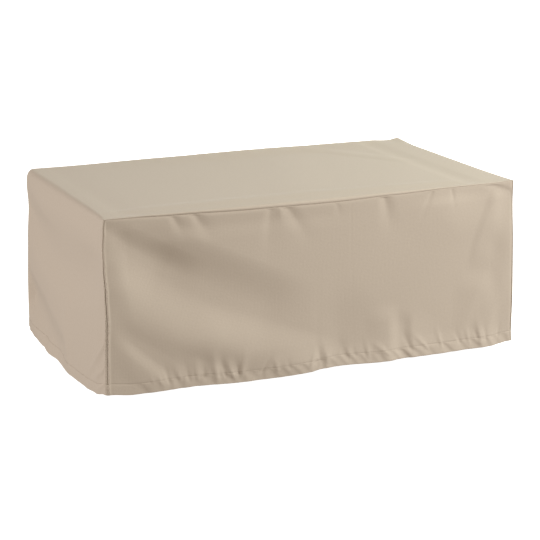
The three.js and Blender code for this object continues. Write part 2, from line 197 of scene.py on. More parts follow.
def fold_height(fold, at, down):
    """One soft ridge or trough that swells and fades at its two ends."""
    start_at, start_down, end_at, end_down, bow, stands, end_stands, above, below = fold
    run_at, run_down = end_at - start_at, end_down - start_down
    length = math.hypot(run_at, run_down)
    share = ((at - start_at) * run_at + (down - start_down) * run_down) / length**2
    turn = -1 if run_at < 0 else 1
    side = turn * ((at - start_at) * run_down - (down - start_down) * run_at) / length
    side = side - bow * 4 * share * (1 - share)
    distance = np.clip(np.abs(side) / np.where(side > 0, above, below), 0, 1)
    swell = ease(share / TAPER) * ease((1 - share) / TAPER)
    return (stands + (end_stands - stands) * share) * swell * (1 - distance**2) ** 2


def cloth_height(folds, at, down):
    """All the folds of a face added up."""
    return sum(fold_height(fold, at, down) for fold in folds)


def crease_height(creases, at, down):
    """Sharp creases drawn from a stitched line. Each spreads and fades away from where it starts."""
    total = np.zeros(np.shape(at))
    for start_at, start_down, end_at, end_down, stands, above, below in creases:
        run_at, run_down = end_at - start_at, end_down - start_down
        length = math.hypot(run_at, run_down)
        share = ((at - start_at) * run_at + (down - start_down) * run_down) / length**2
        turn = -1 if run_at < 0 else 1
        side = turn * ((at - start_at) * run_down - (down - start_down) * run_at) / length
        wide = np.where(side > 0, above, below) * (CREASE_START + CREASE_SPREAD * np.clip(share, 0, 1))
        distance = np.clip(np.hypot(side / wide, CREST_ROUND) - CREST_ROUND, 0, 1)
        fade = ease((share + CREASE_LEAD) / CREASE_LEAD) * (1 - ease(share))
        total = total + stands * fade * (1 - distance) ** 2
    return total


# Seams, by the depth down an upright one or the place along the top one. roll is how far the strip
# turns round the edge, and dip is how far the edge of the top hangs down. out_end and out_side are
# how far a corner stands out past the end and past the panel. turn is the radius in which the sewn
# edges turn in to the seam. lip is how far the allowances inside push the cloth out beside it, and
# below zero they pull it in.
FRONT_LEFT_SEAM = {
    "at": (0, 30, 80, 130, 200, 270, 350, 440, 480),
    "roll": (3, 3.4, 3.2, 3.5, 5, 7, 7.5, 8, 9),
    "out_end": (0, 2, 3, 2, 0, -1, 0, 0, 0),
    "out_side": (0, -3, -5, -3, 1, 2, 0, -1, 0),
    "turn": (3, 3.6, 3.2, 3, 3.8, 4.4, 4.2, 3.2, 2.4),
    "lip": (0, 0.8, 1.2, 1.8, 2.4, 2.6, 2.4, 2, 1.2),
}
FRONT_RIGHT_SEAM = {
    "at": (0, 60, 180, 320, 440, 480),
    "roll": (2.5, 2.5, 3, 4, 4, 5),
    "out_end": (2, 2, 2.5, 1.5, 0, 3),
    "out_side": (0, -3, 1, 3, 0, 0),
    "turn": (2.2, 2.6, 2.8, 2.8, 2.6, 2.2),
    "lip": (-1, -0.8, -0.8, -0.8, -0.6, -0.5),
}
FRONT_TOP_SEAM = {
    "at": (0, 60, 200, 420, 650, 830, 1020, 1150, 1200),
    "roll": (2.5, 3, 6.5, 10, 11, 8, 4, 3, 2.5),
    "dip": (1, 1, 1.5, 2.5, 3, 2, 1.5, 1.5, -0.5),
    "turn": (3, 3.4, 3.8, 3.4, 3, 2.6, 1.9, 1.5, 1.6),
    "lip": (-0.4, -0.6, -0.9, -0.9, -0.7, -0.6, -0.4, -0.3, -0.3),
}
# Where the fold of the hem hangs, and how far out it swings.
FRONT_HEM = {
    "at": (0, 70, 230, 370, 460, 570, 600, 660, 780, 930, 1130, 1200),
    "down": (465, 472, 471, 476, 475.5, 472.5, 469, 468, 472, 471.5, 469.5, 464),
    "out": (0, 1, 3, 6, 5, 3, 2, 0.5, 2, 2, 1, 0),
}
# Folds run from one point to another, at across from the left seam. Columns: at, down, end at, end
# down, how far the middle bows up, how far it stands out at its start and at its end, and its widths
# above and below. Below zero it is a trough.
FRONT_FOLDS = [
    (34, 90, 570, 344, 0, -27, -9, 116, 176),
    (-40, 26, 270, 196, 0, -9, -5, 60, 120),
    (-110, 70, 350, 404, -20, 7, 8, 100, 78),
    (60, 24, 760, 24, 0, -4, -2, 26, 60),
    (840, 60, 1220, 56, 0, 2, 2, 60, 120),
    (200, 310, 640, 476, 0, 10, 10, 86, 72),
    (-60, 222, 220, 468, 0, -1, -2, 45, 34),
    (-50, 277, 190, 494, 0, 4, 5, 38, 60),
    (1090, 10, 640, 360, 0, 9, 5, 110, 120),
    (1240, 120, 860, 450, 0, -6, -6, 100, 100),
    (1178, -10, 1078, 260, 14, 4, 2, 30, 90),
    (800, 306, 808, 520, 0, 4, 4, 46, 70),
    (856, 330, 860, 540, 0, -3.5, -4, 30, 50),
    (1170, 250, 1030, 520, 6, -3, -4, 44, 44),
    (1110, 240, 1104, 520, 0, 5, 5, 100, 60),
    (280, 505, 1300, 500, 0, 7, 7, 96, 40),
]
# Sharper creases out of the upper corners and down from the top seam. They fade and spread to their
# ends. Columns: at, down, end at, end down, how far they stand out, width above, width below.
FRONT_CREASES = [
    (0, 22, 280, 216, -2.2, 60, 44),
    (1130, 4, 1310, 78, -2.4, 13, 34),
    (184, 4, 238, 94, -3.6, 26, 26),
    (242, 4, 312, 96, -4.4, 32, 27),
    (464, 4, 446, 180, -3.4, 30, 46),
    (486, 4, 500, 90, 1, 14, 14),
    (504, 4, 598, 140, -4, 33, 34),
    (798, 4, 826, 140, -4.2, 36, 36),
    (948, 6, 890, 110, -2, 14, 14),
    (1007, 6, 1010, 80, -1.6, 12, 12),
    (652, 6, 670, 70, -1.6, 14, 18),
    (697, 20, 697, 420, -0.25, 5, 5),
]
# Puckers above the stitching of the hem, where the turned up edge draws the cloth together.
FRONT_PUCKERS = [
    (122, 446, 108, 412, 1.1, 8, 8),
    (142, 446, 130, 410, 1.2, 8, 8),
    (166, 446, 150, 388, -2, 12, 12),
    (198, 446, 174, 384, 2.2, 16, 14),
    (222, 446, 206, 380, -2.5, 16, 18),
    (246, 446, 236, 376, 2.5, 18, 14),
    (266, 446, 262, 384, -2.2, 20, 16),
    (299, 446, 282, 350, 4.2, 22, 20),
    (324, 446, 306, 376, -2.1, 16, 13),
    (344, 446, 322, 390, 3, 15, 12),
    (364, 446, 344, 380, -2, 13, 14),
    (369, 446, 384, 366, 3.8, 13, 28),
    (432, 446, 464, 392, -2.2, 14, 14),
    (470, 446, 462, 404, 2.8, 20, 12),
    (507, 446, 494, 408, -1.2, 14, 10),
    (572, 446, 594, 390, 2.2, 10, 18),
    (602, 446, 594, 408, -1.5, 10, 10),
    (622, 446, 604, 366, 4, 46, 20),
    (680, 446, 648, 366, -2.1, 26, 32),
    (692, 446, 676, 408, 1.5, 16, 10),
    (709, 446, 700, 416, -1.4, 10, 12),
    (746, 446, 738, 384, 2.5, 22, 12),
    (800, 446, 742, 398, 2.2, 18, 13),
    (880, 446, 850, 376, -2.5, 18, 16),
    (926, 446, 872, 388, 2.1, 16, 12),
    (974, 446, 958, 380, 2, 13, 11),
    (1034, 446, 1014, 400, -1.9, 14, 12),
    (1062, 446, 1050, 386, 1.8, 13, 12),
    (1094, 446, 1076, 404, -1.6, 12, 12),
    (1096, 446, 1088, 366, 3, 24, 13),
    (1117, 446, 1110, 390, -1.6, 12, 10),
    (1158, 446, 1166, 396, -1.1, 10, 10),
]
# Creases across the band of the hem. Columns: at the stitching, how far they lean, how deep they are.
FRONT_BAND = [
    (84, 20, 1.4), (130, 14, 1.4), (166, 2, 1.7), (201, -2, 2.4), (262, -20, 2.5), (276, 14, 1.4),
    (304, 18, 1.4), (322, 26, 1.7), (370, 2, 2), (398, 14, 1.4), (428, -2, 1.7), (448, 20, 1.4),
    (480, 22, 1.4), (508, 24, 1.4), (540, 24, 1.7), (592, -8, 2.4), (604, 4, 2.5), (622, 24, 1.4),
    (652, 20, 1.4), (688, 16, 1.7), (714, 20, 1.4), (750, 16, 1.4), (776, 16, 2), (812, 22, 1.4),
    (846, 24, 2.4), (882, 26, 1.7), (926, 22, 1.4), (980, 24, 2), (1030, 20, 1.1), (1068, 24, 1.7),
    (1110, 16, 1.7), (1142, 14, 1.4), (1172, 12, 1.4),
]


# A lip is highest this far from its seam, and this wide to each side.
LIP_PLACE = 2
LIP_WIDTH = 3.4


def beside_seam(distance, lip):
    """Beside a seam the cloth stands out or is drawn in, over the width of the allowance inside."""
    return lip * np.exp(-(((distance - LIP_PLACE) / LIP_WIDTH) ** 2))


def seam_turn(distance, turn):
    """How deep a sewn edge has turned in at a distance from its seam."""
    reach = turn - np.clip(distance, 0, turn)
    return turn - np.sqrt(turn**2 - reach**2)


# A crease across a band is steep on its right side and long on its left side. It fades out from the
# stitching over one height, and round the fold of the hem over another, from this far below it.
BAND_RIGHT = 13
BAND_LEFT = 24
STITCH_FADE = 5
FOLD_FADE = 12
BELOW_FOLD = 8


def band_creases(band, at, up):
    """Slanting creases across the folded band of a hem. up is the height over the hem's fold."""
    total = np.zeros(np.shape(at))
    for start, lean, depth in band:
        side = at - start - lean * (1 - up / HEM_DEPTH)
        distance = np.clip(np.abs(side) / np.where(side > 0, BAND_RIGHT, BAND_LEFT), 0, 1)
        total = total - depth * (1 - distance**2) ** 2
    return total * ease((HEM_DEPTH - up) / STITCH_FADE) * ease((up + BELOW_FOLD) / FOLD_FADE)


def groove(up):
    """The groove of the stitching, from 0 to 1. up is the height over the hem's fold."""
    return np.exp(-(((up - HEM_DEPTH) / GROOVE_WIDTH) ** 2))


def flare(down):
    """How far a side has leaned out by a depth."""
    return HEM_FLARE * down / HEIGHT


def swing(down):
    """How much of the hem's swing shows at a depth, from 0 to 1."""
    return ease(down / HEIGHT) ** SWING_CURVE


def corner_weight(distance):
    """How much of a corner's lean shows at a distance from it, from 1 to 0."""
    return 1 - ease(distance / CORNER_REACH)


def panel_surface(side, share, fall):
    """Outside of a panel, in millimetres. share is 0 to 1 from the left seam to the right seam,
    fall is 0 to 1 from the top seam to the fold of the hem."""
    at = share * LENGTH
    top = read(side["top"], "dip", at) + read(side["top"], "roll", at)
    hem = read(side["hem"], "down", at)
    down = top + (hem - top) * fall
    left = -HALF_LENGTH - flare(down) - read(side["left"], "out_end", down)
    left = left + read(side["left"], "roll", down)
    right = HALF_LENGTH + flare(down) + read(side["right"], "out_end", down)
    right = right - read(side["right"], "roll", down)
    from_left = (right - left) * share
    from_right = (right - left) * (1 - share)
    from_top = down - top
    # The top corners are rounded where the strip bends over them.
    for from_side, radius, sign in (
        (from_left, side["rounds"][0], 1),
        (from_right, side["rounds"][1], -1),
    ):
        a, b = radius - from_side, radius - from_top
        near = (a > 0) & (b > 0)
        shrink = np.where(near, np.maximum(a, b) / np.maximum(np.hypot(a, b), 1e-6), 1)
        left = left + np.where(near, sign * a * (1 - shrink), 0)
        down = down + np.where(near, b * (1 - shrink), 0)
    x = left + from_left
    to_side = np.minimum(from_left, from_right)
    to_seam = np.minimum(to_side, from_top)
    lean = read(side["left"], "out_side", down) * corner_weight(at)
    lean = lean + read(side["right"], "out_side", down) * corner_weight(LENGTH - at)
    hang = read(side["hem"], "out", at) * swing(down)
    by_seam = ease(to_seam / CREASE_FADE)
    folds = cloth_height(side["folds"], at, down) * ease(to_side / SIDE_FADE) * ease(from_top / TOP_FADE)
    creases = crease_height(side["creases"], at, down) * by_seam
    puckers = crease_height(side["puckers"], at, down + HEIGHT - hem) * by_seam
    band = band_creases(side["band"], at, hem - down) * by_seam
    hem_step = HEM_PROUD * ease((down - hem + HEM_DEPTH) / HEM_STEP) + band
    hem_step = hem_step - GROOVE_DEPTH * groove(hem - down)
    seams = beside_seam(from_left, read(side["left"], "lip", down))
    seams = seams + beside_seam(from_right, read(side["right"], "lip", down))
    seams = seams + beside_seam(from_top, read(side["top"], "lip", at))
    turned = seam_turn(from_left, read(side["left"], "turn", down))
    turned = np.maximum(turned, seam_turn(from_right, read(side["right"], "turn", down)))
    turned = np.maximum(turned, seam_turn(from_top, read(side["top"], "turn", at)))
    outward = HALF_DEPTH + flare(down) + lean + hang + folds + creases + puckers + hem_step + seams
    return np.stack([x, side["out"] * (outward - turned), OUTER_TOP - down], -1)


def spaced(start, stop, step):
    """Evenly spaced places after start, up to stop, about a step apart."""
    return list(np.linspace(start, stop, round((stop - start) / step) + 1)[1:])


# Close lines beside a seam, and rows from just above the stitching of a hem down to its fold.
BY_SEAM = [0, 0.15, 0.5, 1.2, 2, 3, 4.5, 6.5, 9, 12, 16, 20, 24]
BAND_TOP = STITCHES_DOWN - 6
BAND_ROWS = [STITCHES_DOWN + d for d in (-4, -2.5, -1.2, 0, 1.2, 2.5, 5)]
BAND_ROWS += spaced(BAND_ROWS[-1], HEIGHT, 3)
# Rows round the fold as angles, and rows up the turned in part as heights over the fold.
HEM_TURNS = [math.radians(30 * i) for i in range(1, 7)]
HEM_UP = [4, 9, 15, 21, 27]


def add_hem(downward):
    """Adds a turned in hem to rows that end at its fold. Gives each row's fall as a share of the
    height, how deep it lies behind the outside, and how far it hangs below the fold."""
    none = [0 for _ in downward]
    fall = [d / HEIGHT for d in downward] + [1 for _ in HEM_TURNS] + [1 - up / HEIGHT for up in HEM_UP]
    depth = none + [FOLD_RADIUS * (1 - math.cos(a)) for a in HEM_TURNS] + [2 * FOLD_RADIUS for _ in HEM_UP]
    drop = none + [FOLD_RADIUS * math.sin(a) for a in HEM_TURNS] + [0 for _ in HEM_UP]
    return fall, depth, drop


def sew_panel(name, side):
    """Points of a panel with its turned in edges and its folded hem, from the inside of its top
    edge down to the inside of its hem."""
    across = BY_SEAM + spaced(BY_SEAM[-1], LENGTH - BY_SEAM[-1], 3.6)
    across += [LENGTH - d for d in BY_SEAM[-2::-1]]
    downward = BY_SEAM + spaced(BY_SEAM[-1], 150, 4) + spaced(150, 330, 9)
    downward += spaced(330, BAND_TOP, 3.3) + BAND_ROWS
    tuck = [ALLOWANCE, ALLOWANCE / 2]
    column_share = np.array([0, 0, *(a / LENGTH for a in across), 1, 1])
    column_depth = np.array([*tuck, *(0 for _ in across), *reversed(tuck)])
    fall, depth, drop = add_hem(downward)
    share, fall = np.meshgrid(column_share, np.array([0, 0, *fall]))
    points = panel_surface(side, share, fall)
    inward = np.maximum(column_depth[None, :], np.array([*tuck, *depth])[:, None])
    points[..., 1] -= side["out"] * inward
    points[..., 2] -= np.array([0, 0, *drop])[:, None]
    return make_sheet(name, points, side["out"] > 0)


def make_sheet(name, points, flip):
    """A sheet of cloth through rows of points, with its thickness inside them, and the size of its
    flat cut. That is the mean length of its columns and of its rows along the cloth. The UV map holds
    each point's place on the cut. flip turns the faces of a sheet whose rows run the other way."""
    rows, columns = points.shape[:2]
    points = points * MM
    lengths_down = np.linalg.norm(np.diff(points, axis=0), axis=-1).mean(1)
    lengths_across = np.linalg.norm(np.diff(points, axis=1), axis=-1).mean(0)
    flat_down = np.concatenate([[0], np.cumsum(lengths_down)])
    flat_across = np.concatenate([[0], np.cumsum(lengths_across)])
    sheet = bmesh.new()
    bmesh.ops.create_grid(sheet, x_segments=columns - 1, y_segments=rows - 1, size=0.5)
    uv = sheet.loops.layers.uv.new("cut")
    place = {}
    for vert in sheet.verts:
        column = round((vert.co.x + 0.5) * (columns - 1))
        row = round((vert.co.y + 0.5) * (rows - 1))
        place[vert] = (flat_across[column], flat_down[row])
        vert.co = points[row, column]
    for face in sheet.faces:
        face.smooth = True
        for loop in face.loops:
            loop[uv].uv = place[loop.vert]
    if flip:
        bmesh.ops.reverse_faces(sheet, faces=sheet.faces)
    piece = bpy.data.objects.new(name, bpy.data.meshes.new(name))
    sheet.to_mesh(piece.data)
    sheet.free()
    scene.collection.objects.link(piece)
    thick = piece.modifiers.new("thickness", "SOLIDIFY")
    thick.thickness = CLOTH * MM
    thick.offset = -1
    return piece, (float(flat_across[-1]), float(flat_down[-1]))


# Coated polyester: a plain weave of 600 denier yarn with a dull coating behind it, so it is matt
# with a faint soft sheen at grazing angles.
cloth = bpy.data.materials.new("coated_polyester_plain_weave")
cloth.use_nodes = True
tree = cloth.node_tree
tree.nodes.clear()
cut = node(tree, "ShaderNodeUVMap", {"uv_map": "cut"})
# Yarns lie 0.5 mm apart, which is drawn as 4 mm so that it shows. A wave texture of scale 1 repeats
# every 0.314 m.
YARN_DRAWN = 0.004
weave = []
for turn_by in (0, math.pi / 2):
    turned = node(tree, "ShaderNodeMapping", {"Rotation": (0, 0, turn_by)}, {"Vector": cut.outputs[0]})
    waves = {"Scale": 0.314 / YARN_DRAWN, "Distortion": 0.8, "Detail": 1.0}
    yarn = node(tree, "ShaderNodeTexWave", waves, {"Vector": turned.outputs[0]})
    weave.append(yarn.outputs["Fac"])
crossed = node(tree, "ShaderNodeMath", {"operation": "MAXIMUM"})
tree.links.new(weave[0], crossed.inputs[0])
tree.links.new(weave[1], crossed.inputs[1])
# Slubs: the yarns vary in thickness and shade along some 6 mm.
slubs = {"Scale": 160, "Detail": 3, "Roughness": 0.6}
slub = node(tree, "ShaderNodeTexNoise", slubs, {"Vector": cut.outputs[0]})
shade = node(
    tree,
    "ShaderNodeMix",
    {"data_type": "RGBA", "A": linear("b8aa97"), "B": linear("c2b4a2")},
    {"Factor": slub.outputs["Fac"]},
)
relief = node(tree, "ShaderNodeBump", {"Strength": 0.25, "Distance": 0.0004}, {"Height": crossed.outputs[0]})
grain = node(
    tree,
    "ShaderNodeBump",
    {"Strength": 0.25, "Distance": 0.0008},
    {"Height": slub.outputs["Fac"], "Normal": relief.outputs[0]},
)
dull = {"Roughness": 0.82, "IOR": 1.5, "Specular IOR Level": 0.25}
sheen = {"Sheen Weight": 0.12, "Sheen Roughness": 0.5}
skin = node(tree, "ShaderNodeBsdfPrincipled", {**dull, **sheen})
tree.links.new(shade.outputs["Result"], skin.inputs["Base Color"])
tree.links.new(grain.outputs[0], skin.inputs["Normal"])
node(tree, "ShaderNodeOutputMaterial", links={"Surface": skin.outputs[0]})

# Bonded polyester thread, a little darker than the cloth.
thread = bpy.data.materials.new("bonded_polyester_thread")
thread.use_nodes = True
tree = thread.node_tree
tree.nodes.clear()
# Its twist shows as flecks about 1 mm long.
where = node(tree, "ShaderNodeTexCoord")
twist = node(tree, "ShaderNodeTexNoise", {"Scale": 900, "Detail": 1}, {"Vector": where.outputs["Object"]})
strand = node(
    tree,
    "ShaderNodeMix",
    {"data_type": "RGBA", "A": linear("86715a"), "B": linear("9c876f")},
    {"Factor": twist.outputs["Fac"]},
)
gloss = node(tree, "ShaderNodeBsdfPrincipled", {"Roughness": 0.55, "IOR": 1.5, "Sheen Weight": 0.1})
tree.links.new(strand.outputs["Result"], gloss.inputs["Base Color"])
node(tree, "ShaderNodeOutputMaterial", links={"Surface": gloss.outputs[0]})

# Lock stitches 4 mm long with 1.2 mm between them, of thread 0.9 mm wide.
STITCH_PITCH = 5.2
STITCH_LENGTH = 4
STITCH_WIDE = 0.9
STITCH_HIGH = 0.45


def sew_stitches(name, line, outward):
    """Stitches along a line of points in millimetres. Both ends of each one dive into the cloth."""
    outward = np.array(outward, float)
    along = np.concatenate([[0], np.cumsum(np.linalg.norm(np.diff(line, axis=0), axis=-1))])
    sewn = bmesh.new()
    for i in range(1, int(along[-1] / STITCH_PITCH) - 1):
        start = i * STITCH_PITCH
        places = start + STITCH_LENGTH * np.array([0, 0.25, 0.75, 1])
        spots = np.stack([np.interp(places, along, line[:, axis]) for axis in range(3)], -1)
        way = (spots[3] - spots[0]) / np.linalg.norm(spots[3] - spots[0])
        wide = np.cross(way, outward) * STITCH_WIDE / 2
        high = outward * STITCH_HIGH
        first = sewn.verts.new((spots[0] - 0.3 * high) * MM)
        rings = []
        for spot in spots[1:3]:
            sides = (spot + high, spot + wide + 0.2 * high, spot - 0.4 * high, spot - wide + 0.2 * high)
            rings.append([sewn.verts.new(side * MM) for side in sides])
        last = sewn.verts.new((spots[3] - 0.3 * high) * MM)
        for j in range(4):
            k = (j + 1) % 4
            sewn.faces.new((first, rings[0][k], rings[0][j]))
            sewn.faces.new((rings[0][j], rings[0][k], rings[1][k], rings[1][j]))
            sewn.faces.new((last, rings[1][j], rings[1][k]))
    bmesh.ops.recalc_face_normals(sewn, faces=sewn.faces)
    piece = bpy.data.objects.new(name, bpy.data.meshes.new(name))
    sewn.to_mesh(piece.data)
    sewn.free()
    for polygon in piece.data.polygons:
        polygon.use_smooth = True
    scene.collection.objects.link(piece)
    piece.data.materials.append(thread)
    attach(piece, "root")
    return piece


def panel_stitches(name, side):
    """The stitching of a panel's hem."""
    share = np.linspace(0.004, 0.996, 800)
    top = read(side["top"], "dip", share * LENGTH) + read(side["top"], "roll", share * LENGTH)
    hem = read(side["hem"], "down", share * LENGTH)
    fall = (hem - HEM_DEPTH - top) / (hem - top)
    return sew_stitches(name, panel_surface(side, share, fall), (0, side["out"], 0))


FRONT = {
    "out": -1,
    "top": FRONT_TOP_SEAM,
    "hem": FRONT_HEM,
    "left": FRONT_LEFT_SEAM,
    "right": FRONT_RIGHT_SEAM,
    "rounds": (1, 1),
    "folds": FRONT_FOLDS,
    "creases": FRONT_CREASES,
    "puckers": FRONT_PUCKERS,
    "band": FRONT_BAND,
}
front_panel, front_cut = sew_panel("front_cloth", FRONT)
front_panel.data.materials.append(cloth)
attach(front_panel, "root")
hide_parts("front_panel")
front_stitches = panel_stitches("front_hem_stitches", FRONT)

# Back panel. A rectangle of the same coated polyester, cut like the front panel. It is sewn to the
# strip along its top and its two sides and hemmed the same way, and has fainter folds of its own.
BACK_LEFT_SEAM = {
    "at": (0, 40, 105, 200, 320, 480),
    "roll": (4, 4, 4, 5, 6, 7),
    "out_end": (0, 1.5, -2.5, -0.5, 0.5, 0),
    "out_side": (0, -2, -4, 2, 4, 0),
    "turn": (1.4, 1.6, 1.8, 1.6, 1.6, 1.2),
    "lip": (0.4, 0.5, 0.6, 0.6, 0.4, 0.4),
}
BACK_RIGHT_SEAM = {
    "at": (0, 50, 150, 290, 480),
    "roll": (3, 3, 4, 6, 7),
    "out_end": (3, 1, 3, 0, 1),
    "out_side": (3, -3, -2, 3, 0),
    "turn": (1.2, 1.4, 1.6, 2, 1.2),
    "lip": (-0.6, -0.6, -0.8, 0.4, 0.4),
}
BACK_TOP_SEAM = {
    "at": (0, 130, 400, 700, 950, 1100, 1165, 1200),
    "roll": (4, 5, 8, 9, 7, 5, 3, 3),
    "dip": (-2, -1.5, -4.5, -7, -5, -4, 0, -4.5),
    "turn": (1.6, 2, 2.2, 1.8, 1.4, 1.2, 1.2, 1.4),
    "lip": (-0.4, -0.6, -0.9, -0.8, -0.7, -0.5, -0.4, -0.4),
}
BACK_HEM = {
    "at": (0, 120, 300, 520, 690, 860, 1020, 1200),
    "down": (466, 473, 471, 477, 474, 471, 475, 465),
    "out": (0, 3, 0, 7, 3, 1, 5, 0),
}
BACK_FOLDS = [
    (-40, 20, 480, 380, -20, -12, -6, 90, 100),
    (-40, 140, 330, 520, -14, 7, 8, 100, 60),
    (1240, 0, 740, 320, -20, -10, -5, 90, 100),
    (1240, 120, 860, 520, -14, 6, 8, 90, 70),
    (500, 190, 545, 540, 6, 4, 8, 75, 75),
    (730, 230, 690, 540, 0, -3, -8, 60, 70),
]
# Depth at which puckers start, just below the stitching.
PUCKERS_DOWN = STITCHES_DOWN + 4


def gathers(length, seed):
    """Puckers above the stitching of a hem and creases across its band, unevenly spaced."""
    chance = np.random.default_rng(seed)
    puckers, band = [], []
    at = chance.uniform(20, 50)
    while at < length - 30:
        lean, tall = chance.uniform(-16, 22), chance.uniform(34, 84)
        stands = chance.choice([-1, 1]) * chance.uniform(0.8, 2)
        wide = chance.uniform(9, 17)
        puckers.append((at, PUCKERS_DOWN, at - lean, PUCKERS_DOWN - tall, stands, wide, wide))
        band.append((at + chance.uniform(0, 12), chance.uniform(4, 26), chance.uniform(0.4, 0.9)))
        at += chance.uniform(26, 62)
    return puckers, band


BACK_PUCKERS, BACK_BAND = gathers(LENGTH, 11)
BACK = {
    "out": 1,
    "top": BACK_TOP_SEAM,
    "hem": BACK_HEM,
    "left": BACK_LEFT_SEAM,
    "right": BACK_RIGHT_SEAM,
    "rounds": (16, 3),
    "folds": BACK_FOLDS,
    "creases": [],
    "puckers": BACK_PUCKERS,
    "band": BACK_BAND,
}
back_panel, back_cut = sew_panel("back_cloth", BACK)
back_panel.data.materials.append(cloth)
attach(back_panel, "root")
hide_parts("back_panel")
back_stitches = panel_stitches("back_hem_stitches", BACK)

# Strip. One length of the same coated polyester that goes up the left end, over the top and down the
# right end. It bends softly at the two ends of the top. Its long edges are sewn to the two panels in
# a soft roll, and its ends are hemmed like theirs.
LEFT_BEND = {"at": (0, 40, 180, 500, 686), "radius": (3.5, 12, 18, 22, 20)}
RIGHT_BEND = {"at": (0, 40, 200, 560, 686), "radius": (3, 6, 9, 8, 5)}
LEFT_HEM = {
    "at": (0, 50, 120, 210, 290, 370, 435, 500, 590, 650, 686),
    "down": (465, 475, 479, 481, 481, 476, 477, 472, 471, 470, 466),
    "out": (0, 7, 12, 15, 23, 22, 21, 15, 11, 6, 0),
}
RIGHT_HEM = {
    "at": (0, 90, 220, 330, 470, 600, 686),
    "down": (464, 472, 476, 473, 478, 472, 465),
    "out": (0, 5, 11, 7, 13, 6, 0),
}
# Folds and creases have the front panel's columns. Those of the ends run across from the front seam.
# Those of the top run from its left end, and down is across from the front seam.
LEFT_FOLDS = [
    (-60, 62, 760, 60, 0, 7, 7, 50, 70),
    (740, 70, -40, 130, -100, -11, -10, 95, 90),
    (800, 338, 250, 476, 8, -24, -16, 94, 72),
    (800, 205, 240, 300, 0, 4, 3, 90, 90),
    (330, 380, 270, 520, 0, -4, -5, 50, 60),
]
LEFT_CREASES = [
    (-6, 326, 156, 490, 5, 14, 18),
    (-6, 392, 116, 476, 4, 12, 16),
    (-6, 432, 80, 490, 2.4, 9, 9),
    (690, 92, 560, 160, -2.6, 18, 14),
]
RIGHT_FOLDS = [
    (-40, 30, 520, 290, -14, -9, -5, 90, 95),
    (-40, 150, 430, 470, -10, 6, 5, 90, 60),
    (720, 70, 440, 520, 8, -5, -7, 70, 70),
    (215, 260, 228, 540, 0, 4, 7, 60, 60),
]
TOP_FOLDS = [
    (-100, 62, 1250, 34, -24, 2.2, 1.8, 45, 34),
    (72, -160, 76, 850, 0, -2.4, -2, 60, 38),
    (1084, -160, 1080, 850, 4, -2.8, -2.8, 38, 44),
    (800, 760, 1110, 300, 0, 1.8, 1.4, 44, 44),
    (560, 40, 800, 640, 0, 2.2, 2.2, 120, 130),
]
TOP_CREASES = [
    (60, 84, 175, 30, 0, 0.8, 0.6, 8, 8),
]
# How far in from its edges the dips of the top reach.
EDGE_REACH = 110
# Folds of the ends fade out to the seams over this width, and the creases out of the seams over less.
END_FADE = 32
END_CREASE_FADE = 3
# The stitching pulls in less here.
END_GROOVE = 0.5
LEFT_PUCKERS, LEFT_BAND = gathers(DEPTH, 5)
RIGHT_PUCKERS, RIGHT_BAND = gathers(DEPTH, 8)
LEFT_END = {
    "out": -1,
    "hem": LEFT_HEM,
    "bend": LEFT_BEND,
    "front": FRONT_LEFT_SEAM,
    "back": BACK_LEFT_SEAM,
    "folds": LEFT_FOLDS,
    "creases": LEFT_CREASES,
    "puckers": LEFT_PUCKERS,
    "band": LEFT_BAND,
}
RIGHT_END = {
    "out": 1,
    "hem": RIGHT_HEM,
    "bend": RIGHT_BEND,
    "front": FRONT_RIGHT_SEAM,
    "back": BACK_RIGHT_SEAM,
    "folds": RIGHT_FOLDS,
    "creases": [],
    "puckers": RIGHT_PUCKERS,
    "band": RIGHT_BAND,
}

# Lines along the strip, from the front seam to the back seam. edge_roll is the angle by which a line
# has gone round the roll, edge_turn the angle of its turn into the seam, and edge_tuck how deep it
# lies behind that. All three are 0 in the middle.
ROLL_STEPS = 6
TURN_STEPS = 3
QUARTER = math.pi / 2
edge_roll = [QUARTER] * (2 + TURN_STEPS) + [QUARTER * (1 - i / ROLL_STEPS) for i in range(ROLL_STEPS)]
edge_turn = [QUARTER] * 2 + [QUARTER * (1 - i / TURN_STEPS) for i in range(TURN_STEPS)] + [0] * ROLL_STEPS
edge_tuck = [ALLOWANCE, ALLOWANCE / 2] + [0] * (TURN_STEPS + ROLL_STEPS)
by_edge = [0, 2, 4.5, 7.5, 11, 15]
far_edge = [DEPTH - d for d in by_edge[::-1]]
middle = np.array([*by_edge, *spaced(by_edge[-1], far_edge[0], 7), *far_edge[1:]])
line_share = np.concatenate([np.zeros(len(edge_roll)), middle / DEPTH, np.ones(len(edge_roll))])
flat_lines = [0.0] * len(middle)
line_roll = np.array(edge_roll + flat_lines + edge_roll[::-1])
line_turn = np.array(edge_turn + flat_lines + edge_turn[::-1])
line_tuck = np.array(edge_tuck + flat_lines + edge_tuck[::-1])
# No roll is tighter than this radius.
LEAST_ROLL = 0.6


def strip_edge(roll, turn, front_y, back_y, share, roll_angle, turn_angle, tuck):
    """Where lines of the strip lie across it, and how far they have rolled in from its face. A line
    in the middle has rolled in by nothing."""
    radius = np.maximum(roll - turn, LEAST_ROLL)
    set_back = radius * (1 - np.sin(roll_angle))
    inset = radius * (1 - np.cos(roll_angle)) + turn * np.sin(turn_angle)
    depth = turn * (1 - np.cos(turn_angle)) + tuck
    front_line = front_y + np.where(share < 0.5, set_back + depth, radius)
    back_line = back_y - np.where(share < 0.5, radius, set_back + depth)
    y = front_line + (back_line - front_line) * share
    return y, inset


